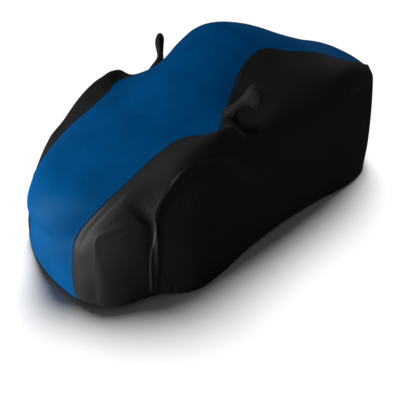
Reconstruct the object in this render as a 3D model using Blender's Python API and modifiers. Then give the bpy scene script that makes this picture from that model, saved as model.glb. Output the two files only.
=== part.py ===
"""Fitted stretch cover for a small two-seat coupe, as it sits pulled over the car.

Five pieces of stretch cloth: a centre panel from the front hem over the bonnet, screen
and roof to the rear hem, two side panels, and two pockets for the door mirrors.
Metres, +Z up. The nose points to -Y, the car's left side is +X. The origin is on the
floor under the middle of the cover.
"""

import bmesh
import bpy
import numpy as np

# ---------------------------------------------------------------- driving dimensions
CLOTH = 0.0030          # thickness of the cloth solids
SEAM_GAP = 0.0018       # gap along the seams between the panels
PIECE_GAP = 0.0003      # gap under the pockets
HEM_TUCK = 0.020        # how far the elastic pulls the hem under
HEM_LIFT = 0.004        # how much higher the tucked edge ends than the hem
BELLY = 0.022           # outward bow of the side between belt and hem
FULL_DROP = 0.5         # height from hem to belt from which bow and tuck are full
FULL_GUIDE = 0.3        # distance from seam to hem from which the guide is full

# Lines of the cover that the cloth is stretched over, for the car's left half.
# "at" counts the sections from the front hem (0) over the car to the rear hem (28).

# centre line: at, y, z
CENTRE_LINE = (
    (0, -1.745, 0.050),
    (1, -1.745, 0.180),
    (2, -1.724, 0.330),
    (3, -1.697, 0.430),
    (4, -1.713, 0.530),
    (5, -1.680, 0.630),
    (6, -1.596, 0.725),
    (8, -1.323, 0.838),
    (10, -1.082, 0.920),
    (12, -0.910, 0.973),
    (13, -0.820, 1.005),
    (14, -0.680, 1.081),
    (15, -0.470, 1.216),
    (16, -0.240, 1.349),
    (17, -0.030, 1.419),
    (18, 0.240, 1.379),
    (19, 0.550, 1.270),
    (20, 0.860, 1.164),
    (21, 1.150, 1.075),
    (22, 1.360, 1.019),
    (23, 1.550, 0.932),
    (24, 1.630, 0.855),
    (25, 1.680, 0.700),
    (26, 1.730, 0.450),
    (27, 1.742, 0.220),
    (28, 1.715, 0.060),
)

# seam between the centre panel and the side panel: at, x, y, z
SEAM_LINE = (
    (0, 0.376, -1.698, 0.040),
    (1, 0.340, -1.672, 0.179),
    (2, 0.330, -1.636, 0.330),
    (3, 0.324, -1.603, 0.435),
    (4, 0.324, -1.561, 0.500),
    (5, 0.341, -1.513, 0.563),
    (6, 0.385, -1.413, 0.667),
    (8, 0.422, -1.195, 0.804),
    (10, 0.427, -0.968, 0.908),
    (12, 0.481, -0.766, 0.972),
    (13, 0.575, -0.634, 0.982),
    (14, 0.502, -0.491, 1.027),
    (15, 0.410, -0.330, 1.100),
    (16, 0.351, -0.152, 1.256),
    (17, 0.356, 0.027, 1.320),
    (18, 0.408, 0.270, 1.264),
    (19, 0.433, 0.564, 1.202),
    (20, 0.441, 0.858, 1.101),
    (21, 0.440, 1.141, 1.000),
    (22, 0.439, 1.322, 0.937),
    (23, 0.429, 1.433, 0.907),
    (24, 0.419, 1.502, 0.850),
    (25, 0.410, 1.550, 0.660),
    (26, 0.400, 1.600, 0.420),
    (28, 0.400, 1.590, 0.060),
)

# shoulder, from the front corner over the wing's ridge and the side window: at, x, y, z
SHOULDER_LINE = (
    (0, 0.460, -1.668, 0.050),
    (1, 0.430, -1.650, 0.190),
    (2, 0.401, -1.618, 0.318),
    (3, 0.399, -1.588, 0.429),
    (4, 0.397, -1.541, 0.519),
    (5, 0.425, -1.476, 0.600),
    (6, 0.468, -1.387, 0.684),
    (7, 0.510, -1.278, 0.764),
    (8, 0.542, -1.153, 0.826),
    (10, 0.585, -0.925, 0.961),
    (11, 0.616, -0.829, 0.997),
    (12, 0.638, -0.743, 1.022),
    (13, 0.660, -0.617, 1.045),
    (13.5, 0.652, -0.548, 1.035),
    (14, 0.635, -0.480, 0.970),
    (15, 0.580, -0.300, 0.995),
    (16, 0.540, -0.100, 1.100),
    (17, 0.545, 0.080, 1.135),
    (19, 0.580, 0.580, 1.120),
    (20, 0.550, 0.861, 1.090),
    (22, 0.510, 1.302, 0.955),
    (23, 0.490, 1.421, 0.900),
    (24, 0.480, 1.490, 0.800),
    (26, 0.460, 1.565, 0.400),
    (28, 0.450, 1.570, 0.060),
)

# belt: corner and top edge of the bumper, wing, waist and rear haunch: at, x, y, z
BELT_LINE = (
    (0, 0.529, -1.622, 0.049),
    (1, 0.513, -1.600, 0.184),
    (2, 0.498, -1.572, 0.312),
    (3, 0.478, -1.541, 0.430),
    (4, 0.459, -1.501, 0.535),
    (5, 0.504, -1.422, 0.577),
    (6, 0.558, -1.324, 0.614),
    (6.5, 0.592, -1.265, 0.614),
    (7, 0.622, -1.203, 0.580),
    (7.5, 0.638, -1.183, 0.660),
    (8, 0.643, -1.142, 0.734),
    (9, 0.647, -1.044, 0.834),
    (10, 0.657, -0.946, 0.894),
    (11, 0.676, -0.850, 0.919),
    (12, 0.699, -0.749, 0.916),
    (13, 0.706, -0.610, 0.905),
    (14, 0.705, -0.460, 0.905),
    (16, 0.700, -0.060, 0.955),
    (18, 0.695, 0.360, 0.965),
    (20, 0.655, 0.864, 1.045),
    (21, 0.623, 1.110, 0.980),
    (22, 0.598, 1.285, 0.900),
    (24, 0.571, 1.445, 0.600),
    (26, 0.530, 1.510, 0.250),
    (28, 0.510, 1.540, 0.060),
)
# how sharply the cloth turns over the belt line, 0 smooth and 1 creased: at, crease
BELT_CREASE = (
    (0, 1.00),
    (4, 0.90),
    (7, 0.95),
    (8.5, 0.80),
    (10, 0.60),
    (12, 0.30),
    (14, 0),
    (20, 0.30),
    (22, 0.60),
    (26, 0.50),
    (28, 1.00),
)

# hem: at, x, y, z
HEM_LINE = (
    (0, 0.530, -1.622, 0.050),
    (1, 0.560, -1.600, 0.050),
    (2, 0.585, -1.575, 0.050),
    (3, 0.608, -1.545, 0.050),
    (4, 0.630, -1.510, 0.050),
    (5, 0.657, -1.448, 0.050),
    (6, 0.682, -1.370, 0.050),
    (7, 0.706, -1.285, 0.045),
    (8, 0.750, -1.200, 0.030),
    (9, 0.800, -1.115, 0.012),
    (10, 0.838, -1.020, 0.006),
    (12, 0.840, -0.780, 0.006),
    (14, 0.810, -0.440, 0.030),
    (16, 0.795, 0.000, 0.030),
    (18, 0.810, 0.420, 0.020),
    (20, 0.845, 0.840, 0.006),
    (21, 0.840, 1.020, 0.006),
    (22, 0.810, 1.170, 0.010),
    (23, 0.750, 1.290, 0.030),
    (24, 0.670, 1.390, 0.040),
    (26, 0.570, 1.490, 0.060),
    (28, 0.510, 1.540, 0.060),
)

# where each line lies across the side panel, 0 at the seam and 1 at the hem's edge
RIB_KEYS = (-0.2, 0.0, 0.20, 0.40, 0.70, 0.97, 1.0)
BELT_ROW = 3            # the belt's and the hem's places among them
HEM_ROW = 5
BELLY_AT = 0.55         # how far down from belt to hem the side bows out most
HEM_CREASE = 0.80       # how sharply the cloth turns under at the hem, up to 1
CENTRE_KEY = 0.6        # share of the half width where the centre panel guides the ribs

# wheel arches that the cloth sinks into, and the widths over which it sinks
WHEEL_ARCHES = (
    {
        "y": -0.830, "z": 0.550, "radius": 0.375, "depth": 0.026,
        "slant": 0.160, "front": 0.030, "rear": 0.080,
    },
    {
        "y": 0.870, "z": 0.500, "radius": 0.430, "depth": 0.018,
        "slant": 0, "front": 0.080, "rear": 0.080,
    },
)

ARCH_START = 0.04       # share of the way down over which the cloth sinks below the belt

# mirror pockets, each as if on the left, sections from inside the panel out to the tip:
# centre x, y, z, half of its thin way, half of its tall way
POCKETS = {
    "left": (
        (0.486, -0.454, 1.011, 0.046, 0.050),
        (0.503, -0.430, 1.042, 0.037, 0.041),
        (0.523, -0.412, 1.070, 0.029, 0.031),
        (0.542, -0.392, 1.094, 0.025, 0.028),
        (0.560, -0.370, 1.117, 0.026, 0.037),
        (0.578, -0.350, 1.138, 0.030, 0.058),
        (0.597, -0.330, 1.148, 0.034, 0.080),
        (0.616, -0.309, 1.144, 0.034, 0.080),
        (0.630, -0.296, 1.138, 0.027, 0.062),
        (0.640, -0.283, 1.130, 0.013, 0.046),
    ),
    "right": (
        (0.485, -0.330, 1.005, 0.052, 0.064),
        (0.500, -0.290, 1.036, 0.044, 0.054),
        (0.515, -0.252, 1.068, 0.033, 0.042),
        (0.532, -0.226, 1.098, 0.026, 0.036),
        (0.553, -0.210, 1.126, 0.027, 0.044),
        (0.577, -0.194, 1.155, 0.032, 0.060),
        (0.598, -0.178, 1.187, 0.036, 0.070),
        (0.611, -0.160, 1.214, 0.034, 0.070),
        (0.619, -0.146, 1.232, 0.026, 0.058),
        (0.623, -0.138, 1.240, 0.011, 0.032),
    ),
}
POCKET_THIN_WAY = (-0.664, 0.748, 0)
POCKET_SIDES = 14
# the holes in the side panels under the pockets
POCKET_HOLES = {
    "left": (
        (0.461, -0.465, 0.960, 0.020, 0.024),
        (0.542, -0.392, 1.094, 0.015, 0.019),
    ),
    "right": (
        (0.455, -0.395, 0.947, 0.024, 0.032),
        (0.540, -0.213, 1.112, 0.018, 0.026),
    ),
}
POCKET_STATIONS = (11, 18)      # stretch of the cover around the pockets' roots
POCKET_COLUMNS = 10             # columns of the side panel around them
CAR_ROOM = 0.160                # depth under the cloth that is cleared of the pockets

# mesh: steps up to each station along the cover, columns across each panel
SECTION_STEPS = ((1, 3), (7, 16), (10, 14), (14, 16), (19, 8), (23, 12), (28, 7))
CENTRE_COLUMNS = 8
SHARP_ANGLE = 40        # degrees between faces from which an edge is shaded sharp
SIDE_COLUMNS = (
    (0, 0.06, 0.12, 0.20, 0.26, 0.32, 0.36, 0.40, 0.44, 0.48)
    + (0.52, 0.56, 0.60, 0.65, 0.70, 0.76, 0.82, 0.88, 0.94, 0.97, 1.0)
)


# ---------------------------------------------------------------- shape
def smooth_line(keys, values, at, crease=0):
    """Values on a smooth curve through the rows at the given keys.

    A row whose crease is 1 gets straight runs to its neighbours instead of a bend.
    """
    keys = np.asarray(keys, float)
    values = np.asarray(values, float)
    slopes = np.gradient(values, keys, axis=0)
    runs = np.diff(values, axis=0) / np.diff(keys)[:, None]
    after = np.concatenate((runs, runs[-1:]))
    before = np.concatenate((runs[:1], runs))
    leaving = slopes + (after - slopes) * crease
    arriving = slopes + (before - slopes) * crease
    cell = np.clip(np.searchsorted(keys, at, side="right") - 1, 0, len(keys) - 2)
    width = (keys[cell + 1] - keys[cell])[:, None]
    t = ((at - keys[cell])[:, None]) / width
    start, end = values[cell], values[cell + 1]
    leave, arrive = leaving[cell] * width, arriving[cell + 1] * width
    return (
        start * (2 * t**3 - 3 * t**2 + 1)
        + leave * (t**3 - 2 * t**2 + t)
        + end * (3 * t**2 - 2 * t**3)
        + arrive * (t**3 - t**2)
    )


def read_line(table, at):
    """A table's values at the given sections; a centre line has x = 0."""
    rows = np.array(table)
    points = smooth_line(rows[:, 0], rows[:, 1:], at)
    if points.shape[1] == 2:
        points = np.column_stack((np.zeros(len(at)), points))
    return points


def centre_grid(at, across):
    """Centre panel: each section is an arch from seam to seam over the centre line."""
    crown = read_line(CENTRE_LINE, at)[:, None, :]
    seam = read_line(SEAM_LINE, at)[:, None, :]
    reach = across[None, :, None]
    grid = crown + (seam - crown) * reach**2
    grid[:, :, 0] = (seam * reach)[:, :, 0]
    return grid


def arch_depth(points):
    """How far the cloth sinks into the wheel arches at each point of the side."""
    depth = np.zeros(points.shape[:-1])
    for arch in WHEEL_ARCHES:
        height = points[..., 2] - arch["z"]
        along = points[..., 1] - arch["y"] - arch["slant"] * np.minimum(height, 0)
        above = np.maximum(height, 0)
        rearward = np.clip(along / arch["radius"], 0, 1)
        edge = arch["front"] + (arch["rear"] - arch["front"]) * rearward
        inside = np.clip((arch["radius"] - np.hypot(along, above)) / edge, 0, 1)
        fade = np.clip(points[..., 2] / arch["z"], 0, 1)
        depth += arch["depth"] * inside**2 * (3 - 2 * inside) * fade
    return depth


def side_grid(at, down):
    """Left side panel: each section is a rib from the seam over the shoulder to the hem."""
    seam = read_line(SEAM_LINE, at)
    belt = read_line(BELT_LINE, at)
    hem = read_line(HEM_LINE, at)
    outward = np.cross(np.gradient(hem, axis=0), (0, 0, 1))
    outward[:, 2] = 0
    outward /= np.linalg.norm(outward, axis=1)[:, None]
    drop = np.clip((belt - hem)[:, 2:] / FULL_DROP, 0, 1)
    side = belt + (hem - belt) * BELLY_AT + outward * BELLY * drop
    guide = centre_grid(at, np.array([CENTRE_KEY]))[:, 0]
    height = np.linalg.norm(seam - hem, axis=1)[:, None]
    guide = seam + (guide - seam) * np.clip(height / FULL_GUIDE, 0, 1)
    edge = hem - outward * HEM_TUCK * drop + np.array((0, 0, HEM_LIFT)) * drop
    shoulder = read_line(SHOULDER_LINE, at)
    ribs = np.stack((guide, seam, shoulder, belt, side, hem, edge))
    crease = np.zeros_like(ribs)
    crease[BELT_ROW] = read_line(BELT_CREASE, at)
    crease[HEM_ROW] = HEM_CREASE
    flat = (len(RIB_KEYS), -1)
    grid = smooth_line(RIB_KEYS, ribs.reshape(flat), down, crease.reshape(flat))
    grid = grid.reshape(len(down), len(at), 3).transpose(1, 0, 2)
    below = np.clip((down - RIB_KEYS[BELT_ROW]) / ARCH_START, 0, 1)
    depth = arch_depth(grid) * below**2 * (3 - 2 * below)
    return grid - grid_normals(grid) * depth[..., None]


def grid_normals(grid):
    """Unit outward normals of a grid whose rows run to the rear and columns to the left."""
    along = np.gradient(grid, axis=0)
    across = np.gradient(grid, axis=1)
    normals = np.cross(across, along)
    lengths = np.linalg.norm(normals, axis=2)
    normals /= np.maximum(lengths, 1e-12)[..., None]
    return normals


def mirrored(points):
    """The same points on the car's other side."""
    return points * np.array((-1, 1, 1))


# ---------------------------------------------------------------- mesh building
def surface_mesh(name, grid, side=1):
    """Open surface through a grid; each cell is split along its shorter diagonal."""
    columns = grid.shape[1]
    points = grid.reshape(-1, 3)
    build = bmesh.new()
    corners = [build.verts.new(mirrored(point) if side < 0 else point) for point in points]
    for start in range(0, len(points) - columns, columns):
        for first in range(start, start + columns - 1):
            ring = [first, first + 1, first + columns + 1, first + columns]
            one_way = np.linalg.norm(points[ring[0]] - points[ring[2]])
            other_way = np.linalg.norm(points[ring[1]] - points[ring[3]])
            if one_way > other_way:
                ring = ring[1:] + ring[:1]
            for triangle in ((0, 1, 2), (0, 2, 3)):
                build.faces.new([corners[ring[i]] for i in triangle[::side]])
    bmesh.ops.remove_doubles(build, verts=build.verts[:], dist=1e-6)
    mesh = bpy.data.meshes.new(name)
    build.to_mesh(mesh)
    build.free()
    mesh.shade_smooth()
    mesh.set_sharp_from_angle(angle=np.radians(SHARP_ANGLE))
    return mesh


def pocket_mesh(name, sections, open_root, side):
    """Loft through a pocket's oval sections, closed at the tip."""
    rows = np.array(sections)
    centres = rows[:, :3]
    axes = np.gradient(centres, axis=0)
    axes /= np.linalg.norm(axes, axis=1)[:, None]
    thin = np.array(POCKET_THIN_WAY)
    build = bmesh.new()
    rings = []
    for centre, axis, (half_thin, half_tall) in zip(centres, axes, rows[:, 3:]):
        thin_way = thin - axis * thin.dot(axis)
        thin_way /= np.linalg.norm(thin_way)
        tall_way = np.cross(axis, thin_way)
        ring = []
        for step in range(POCKET_SIDES):
            turn = 2 * np.pi * step / POCKET_SIDES
            point = centre + thin_way * half_thin * np.cos(turn)
            point = point + tall_way * half_tall * np.sin(turn)
            ring.append(build.verts.new(mirrored(point) if side < 0 else point))
        rings.append(ring)
    for near, far in zip(rings, rings[1:]):
        for step in range(POCKET_SIDES):
            after = (step + 1) % POCKET_SIDES
            build.faces.new((near[step], near[after], far[after], far[step]))
    build.faces.new(rings[-1])
    if not open_root:
        build.faces.new(reversed(rings[0]))
    if side < 0:
        bmesh.ops.reverse_faces(build, faces=build.faces[:])
    mesh = bpy.data.meshes.new(name)
    build.to_mesh(mesh)
    build.free()
    mesh.shade_smooth()
    return mesh


# ---------------------------------------------------------------- materials and objects
def cloth_material(name, colour, roughness):
    """A plain Principled cloth of one colour."""
    material = bpy.data.materials.new(name)
    material.use_nodes = True
    shader = material.node_tree.nodes["Principled BSDF"]
    shader.inputs["Base Color"].default_value = (*colour, 1)
    shader.inputs["Roughness"].default_value = roughness
    shader.inputs["Metallic"].default_value = 0
    return material


def place(name, mesh, collection, material=None):
    """Put a mesh in a collection as an object, with its own material."""
    thing = bpy.data.objects.new(name, mesh)
    if material:
        mesh.materials.append(material)
    collection.objects.link(thing)
    return thing


def place_cutter(name, mesh, collection):
    """A cutter: a wire object that is never rendered."""
    thing = place(name, mesh, collection)
    thing.hide_render = True
    thing.display_type = "WIRE"
    return thing


def cut_away(thing, cutter):
    """Boolean difference, exact."""
    cut = thing.modifiers.new("cut_" + cutter.name, "BOOLEAN")
    cut.operation = "DIFFERENCE"
    cut.solver = "EXACT"
    cut.object = cutter


def give_thickness(thing, outward, inward):
    """Thicken an open surface to both of its sides."""
    wall = thing.modifiers.new("cloth", "SOLIDIFY")
    wall.thickness = outward + inward
    wall.offset = (outward - inward) / (outward + inward)


def drawn_in(grid, column, towards):
    """The grid with one edge column drawn back, square to the seam, by half its gap."""
    inward = grid[:, towards] - grid[:, column]
    along = np.gradient(grid[:, column], axis=0)
    along /= np.linalg.norm(along, axis=1)[:, None]
    inward -= along * (inward * along).sum(axis=1)[:, None]
    inward /= np.linalg.norm(inward, axis=1)[:, None]
    grid = grid.copy()
    grid[:, column] += inward * SEAM_GAP / 2
    return grid


def build_centre_panel(grid, parts):
    """The blue strip from the front hem to the rear hem."""
    blue = cloth_material("blue_stretch_satin", (0.004, 0.065, 0.190), 0.55)
    grid = drawn_in(drawn_in(grid, 0, 1), -1, -2)
    panel = place("centre_panel", surface_mesh("centre_panel", grid), parts, blue)
    give_thickness(panel, CLOTH / 2, CLOTH / 2)


def build_side(side, grid, room, parts, cutters):
    """One black side panel and the mirror pocket that is sewn on it."""
    word = "left" if side > 0 else "right"
    black = cloth_material("black_stretch_satin_" + word, (0.012, 0.012, 0.013), 0.6)
    pocket_black = cloth_material("black_pocket_" + word, (0.02, 0.02, 0.021), 0.6)
    name = "side_panel_" + word
    panel = place(name, surface_mesh(name, drawn_in(grid, 0, 1), side), parts, black)
    give_thickness(panel, CLOTH / 2, CLOTH / 2)
    hole = pocket_mesh("mirror_hole_" + word, POCKET_HOLES[word], False, side)
    cut_away(panel, place_cutter("mirror_hole_" + word, hole, cutters))

    name = "mirror_pocket_" + word
    pocket = place(name, pocket_mesh(name, POCKETS[word], True, side), parts, pocket_black)
    give_thickness(pocket, 0, CLOTH)
    name = "car_room_" + word
    car_room = place_cutter(name, surface_mesh(name, room, side), cutters)
    give_thickness(car_room, CLOTH / 2 + PIECE_GAP, CAR_ROOM)
    cut_away(pocket, car_room)


# ---------------------------------------------------------------- the cover
for old in list(bpy.data.objects):
    bpy.data.objects.remove(old, do_unlink=True)

cover = bpy.data.collections.new("car_cover")
cutters = bpy.data.collections.new("cutters")
for collection in (cover, cutters):
    bpy.context.scene.collection.children.link(collection)

sections = [0]
for station, steps in SECTION_STEPS:
    sections.extend(np.linspace(sections[-1], station, steps + 1)[1:])
sections = np.array(sections)
centre = centre_grid(sections, np.linspace(-1, 1, CENTRE_COLUMNS + 1))
side = side_grid(sections, np.array(SIDE_COLUMNS))

# the stretch of both panels around a pocket's root
rows = (sections > POCKET_STATIONS[0]) & (sections < POCKET_STATIONS[1])
middle = centre[rows, CENTRE_COLUMNS // 2 + 1 :]
room = np.concatenate((middle, side[rows, 1:POCKET_COLUMNS]), axis=1)

build_centre_panel(centre, cover)
for side_sign in (1, -1):
    build_side(side_sign, side, room, cover, cutters)
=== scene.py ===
# %% [markdown]
# # A fitted stretch car cover
#
# This lesson dresses the solids of a fitted indoor car cover. The real one is cut from a warp
# knit with elastane, in a satin face, and sewn from five pieces. It is pulled over the car like
# a sock, so the cloth is tight nearly everywhere and shows only a few soft folds.
#
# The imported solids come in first. They say where each piece of cloth lies, and nothing here
# may be bigger than they are.

import bmesh
import bpy
import numpy as np
from mathutils import Matrix
from mathutils.bvhtree import BVHTree


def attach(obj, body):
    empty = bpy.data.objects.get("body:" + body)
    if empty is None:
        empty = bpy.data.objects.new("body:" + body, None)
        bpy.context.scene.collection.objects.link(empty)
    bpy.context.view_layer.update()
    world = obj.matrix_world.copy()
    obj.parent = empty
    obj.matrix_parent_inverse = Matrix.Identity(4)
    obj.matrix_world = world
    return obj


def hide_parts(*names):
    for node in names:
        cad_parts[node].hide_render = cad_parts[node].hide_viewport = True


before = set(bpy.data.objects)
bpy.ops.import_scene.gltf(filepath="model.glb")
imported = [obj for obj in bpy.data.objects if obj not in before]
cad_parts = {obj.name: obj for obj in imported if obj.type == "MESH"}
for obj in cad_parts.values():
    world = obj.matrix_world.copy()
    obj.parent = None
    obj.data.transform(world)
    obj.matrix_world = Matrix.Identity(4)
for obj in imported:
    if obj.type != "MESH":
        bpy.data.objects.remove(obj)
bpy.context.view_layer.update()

# %% [markdown]
# ## The camera
#
# The camera stands off the car's front left corner and looks down on the bonnet and roof, as
# in the photograph. Its place is worked out from a turn, a tilt and a distance, which are
# easier to read than nine matrix numbers. The lens comes from the picture's width in pixels.

# %% Place the camera
TURN = np.radians(48.4)
TILT = np.radians(38.2)
LOOK_AT = (0, 0, 0.5)
DISTANCE = 3.46
SHIFT_RIGHT, SHIFT_UP = -0.19, -0.57
FOCUS_PIXELS = 393
FRAME_PIXELS = 400
SENSOR_MM = 36

away = np.array((np.sin(TURN) * np.cos(TILT), -np.cos(TURN) * np.cos(TILT), np.sin(TILT)))
right = np.array((np.cos(TURN), np.sin(TURN), 0))
upward = np.cross(away, right)
eye = np.array(LOOK_AT) + away * DISTANCE + right * SHIFT_RIGHT + upward * SHIFT_UP

lens = bpy.data.cameras.new("studio_camera")
lens.sensor_width = SENSOR_MM
lens.lens = FOCUS_PIXELS / FRAME_PIXELS * SENSOR_MM
lens.clip_end = 200
camera = bpy.data.objects.new("studio_camera", lens)
bpy.context.scene.collection.objects.link(camera)
camera.matrix_world = Matrix([[*row, place] for row, place in zip(np.array((right, upward, away)).T, eye)]
                             + [[0, 0, 0, 1]])
bpy.context.scene.camera = camera
print("camera at", eye.round(3), "lens", round(lens.lens, 2), "mm")

# %% [markdown]
# ## The lines that the cloth is stretched over
#
# A cover has no shape of its own: the car under it gives the shape. So the form is written
# down as a few lines that run from the front hem over the car to the rear hem, each with
# the same count of sections. They are the solids' own lines, repeated here in metres because
# this file can't read the other. The car's nose points to -Y and its left side is +X.

# %% Lines over the car
# centre line: section, y, z
CENTRE_LINE = (
    (0, -1.745, 0.050), (1, -1.745, 0.180), (2, -1.724, 0.330), (3, -1.697, 0.430),
    (4, -1.713, 0.530), (5, -1.680, 0.630), (6, -1.596, 0.725), (8, -1.323, 0.838),
    (10, -1.082, 0.920), (12, -0.910, 0.973), (13, -0.820, 1.005), (14, -0.680, 1.081),
    (15, -0.470, 1.216), (16, -0.240, 1.349), (17, -0.030, 1.419), (18, 0.240, 1.379),
    (19, 0.550, 1.270), (20, 0.860, 1.164), (21, 1.150, 1.075), (22, 1.360, 1.019),
    (23, 1.550, 0.932), (24, 1.630, 0.855), (25, 1.680, 0.700), (26, 1.730, 0.450),
    (27, 1.742, 0.220), (28, 1.715, 0.060),
)
# seam between the centre panel and a side panel: section, x, y, z
SEAM_LINE = (
    (0, 0.376, -1.698, 0.040), (1, 0.340, -1.672, 0.179), (2, 0.330, -1.636, 0.330),
    (3, 0.324, -1.603, 0.435), (4, 0.324, -1.561, 0.500), (5, 0.341, -1.513, 0.563),
    (6, 0.385, -1.413, 0.667), (8, 0.422, -1.195, 0.804), (10, 0.427, -0.968, 0.908),
    (12, 0.481, -0.766, 0.972), (13, 0.575, -0.634, 0.982), (14, 0.502, -0.491, 1.027),
    (15, 0.410, -0.330, 1.100), (16, 0.351, -0.152, 1.256), (17, 0.356, 0.027, 1.320),
    (18, 0.408, 0.270, 1.264), (19, 0.433, 0.564, 1.202), (20, 0.441, 0.858, 1.101),
    (21, 0.440, 1.141, 1.000), (22, 0.439, 1.322, 0.937), (23, 0.429, 1.433, 0.907),
    (24, 0.419, 1.502, 0.850), (25, 0.410, 1.550, 0.660), (26, 0.400, 1.600, 0.420),
    (28, 0.400, 1.590, 0.060),
)
# shoulder, over the wing's ridge and the side window: section, x, y, z
SHOULDER_LINE = (
    (0, 0.460, -1.668, 0.050), (1, 0.430, -1.650, 0.190), (2, 0.401, -1.618, 0.318),
    (3, 0.399, -1.588, 0.429), (4, 0.397, -1.541, 0.519), (5, 0.425, -1.476, 0.600),
    (6, 0.468, -1.387, 0.684), (7, 0.510, -1.278, 0.764), (8, 0.542, -1.153, 0.826),
    (10, 0.585, -0.925, 0.961), (11, 0.616, -0.829, 0.997), (12, 0.638, -0.743, 1.022),
    (13, 0.660, -0.617, 1.045), (13.5, 0.652, -0.548, 1.035), (14, 0.635, -0.480, 0.970),
    (15, 0.580, -0.300, 0.995), (16, 0.540, -0.100, 1.100), (17, 0.545, 0.080, 1.135),
    (19, 0.580, 0.580, 1.120), (20, 0.550, 0.861, 1.090), (22, 0.510, 1.302, 0.955),
    (23, 0.490, 1.421, 0.900), (24, 0.480, 1.490, 0.800), (26, 0.460, 1.565, 0.400),
    (28, 0.450, 1.570, 0.060),
)
# belt: bumper corner and top, wheel arch lip, waist and haunch: section, x, y, z
BELT_LINE = (
    (0, 0.529, -1.622, 0.049), (1, 0.513, -1.600, 0.184), (2, 0.498, -1.572, 0.312),
    (3, 0.478, -1.541, 0.430), (4, 0.459, -1.501, 0.535), (5, 0.504, -1.422, 0.577),
    (6, 0.558, -1.324, 0.614), (6.5, 0.592, -1.265, 0.614), (7, 0.622, -1.203, 0.580),
    (7.5, 0.638, -1.183, 0.660), (8, 0.643, -1.142, 0.734), (9, 0.647, -1.044, 0.834),
    (10, 0.657, -0.946, 0.894), (11, 0.676, -0.850, 0.919), (12, 0.699, -0.749, 0.916),
    (13, 0.706, -0.610, 0.905), (14, 0.705, -0.460, 0.905), (16, 0.700, -0.060, 0.955),
    (18, 0.695, 0.360, 0.965), (20, 0.655, 0.864, 1.045), (21, 0.623, 1.110, 0.980),
    (22, 0.598, 1.285, 0.900), (24, 0.571, 1.445, 0.600), (26, 0.530, 1.510, 0.250),
    (28, 0.510, 1.540, 0.060),
)
# how sharply the cloth turns over the belt line: section, crease from 0 to 1
BELT_CREASE = (
    (0, 1.00), (4, 0.90), (7, 0.95), (8.5, 0.80), (10, 0.60), (12, 0.30), (14, 0),
    (20, 0.30), (22, 0.60), (26, 0.50), (28, 1.00),
)
# hem: section, x, y, z
HEM_LINE = (
    (0, 0.530, -1.622, 0.050), (1, 0.560, -1.600, 0.050), (2, 0.585, -1.575, 0.050),
    (3, 0.608, -1.545, 0.050), (4, 0.630, -1.510, 0.050), (5, 0.657, -1.448, 0.050),
    (6, 0.682, -1.370, 0.050), (7, 0.706, -1.285, 0.045), (8, 0.750, -1.200, 0.030),
    (9, 0.800, -1.115, 0.012), (10, 0.838, -1.020, 0.006), (12, 0.840, -0.780, 0.006),
    (14, 0.810, -0.440, 0.030), (16, 0.795, 0.000, 0.030), (18, 0.810, 0.420, 0.020),
    (20, 0.845, 0.840, 0.006), (21, 0.840, 1.020, 0.006), (22, 0.810, 1.170, 0.010),
    (23, 0.750, 1.290, 0.030), (24, 0.670, 1.390, 0.040), (26, 0.570, 1.490, 0.060),
    (28, 0.510, 1.540, 0.060),
)
print("lines:", len(CENTRE_LINE), "centre rows,", len(HEM_LINE), "hem rows")

# %% [markdown]
# ## From lines to a smooth surface
#
# Cloth under tension runs smoothly from one support to the next, so each line is read with a
# Hermite curve, which passes through every row of its table. A crease of 1 makes the curve
# run straight to its neighbours, which gives a fold. Across the cover, each section is one
# more such curve: an arch for the centre panel, a rib from seam to hem for a side panel.

# %% Read a line smoothly
def smooth_line(keys, values, at, crease=0):
    """Values on a smooth curve through the rows at the given keys."""
    keys = np.asarray(keys, float)
    values = np.asarray(values, float)
    slopes = np.gradient(values, keys, axis=0)
    runs = np.diff(values, axis=0) / np.diff(keys)[:, None]
    leaving = slopes + (np.concatenate((runs, runs[-1:])) - slopes) * crease
    arriving = slopes + (np.concatenate((runs[:1], runs)) - slopes) * crease
    cell = np.clip(np.searchsorted(keys, at, side="right") - 1, 0, len(keys) - 2)
    width = (keys[cell + 1] - keys[cell])[:, None]
    t = ((at - keys[cell])[:, None]) / width
    return (
        values[cell] * (2 * t**3 - 3 * t**2 + 1)
        + leaving[cell] * width * (t**3 - 2 * t**2 + t)
        + values[cell + 1] * (3 * t**2 - 2 * t**3)
        + arriving[cell + 1] * width * (t**3 - t**2)
    )


def read_line(table, at):
    """A table's values at the given sections; a centre line has x = 0."""
    rows = np.array(table)
    points = smooth_line(rows[:, 0], rows[:, 1:], at)
    if points.shape[1] == 2:
        points = np.column_stack((np.zeros(len(at)), points))
    return points


print("top of the roof at", read_line(CENTRE_LINE, np.array([17.0]))[0].round(3))

# %% The centre panel's surface
def centre_grid(at, across):
    """Each section is an arch from seam to seam over the centre line."""
    crown = read_line(CENTRE_LINE, at)[:, None, :]
    seam = read_line(SEAM_LINE, at)[:, None, :]
    reach = across[None, :, None]
    grid = crown + (seam - crown) * reach**2
    grid[:, :, 0] = (seam * reach)[:, :, 0]
    return grid


print("roof seam at", centre_grid(np.array([17.0]), np.array([1.0]))[0, 0].round(3))

# %% [markdown]
# Under the belt, the cloth sinks into the wheel arches, where nothing holds it out but the
# tyre. The sinking is a smooth step inside a circle around each wheel, measured along the
# surface's own normal, so it never tears the rib away from its neighbours.

# %% Wheel arches and normals
WHEEL_ARCHES = (
    {"y": -0.830, "z": 0.550, "radius": 0.375, "depth": 0.026,
     "slant": 0.160, "front": 0.030, "rear": 0.080},
    {"y": 0.870, "z": 0.500, "radius": 0.430, "depth": 0.018,
     "slant": 0, "front": 0.080, "rear": 0.080},
)


def smooth_step(share):
    """0 below 0, 1 above 1 and a soft S between them."""
    share = np.clip(share, 0, 1)
    return share**2 * (3 - 2 * share)


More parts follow.
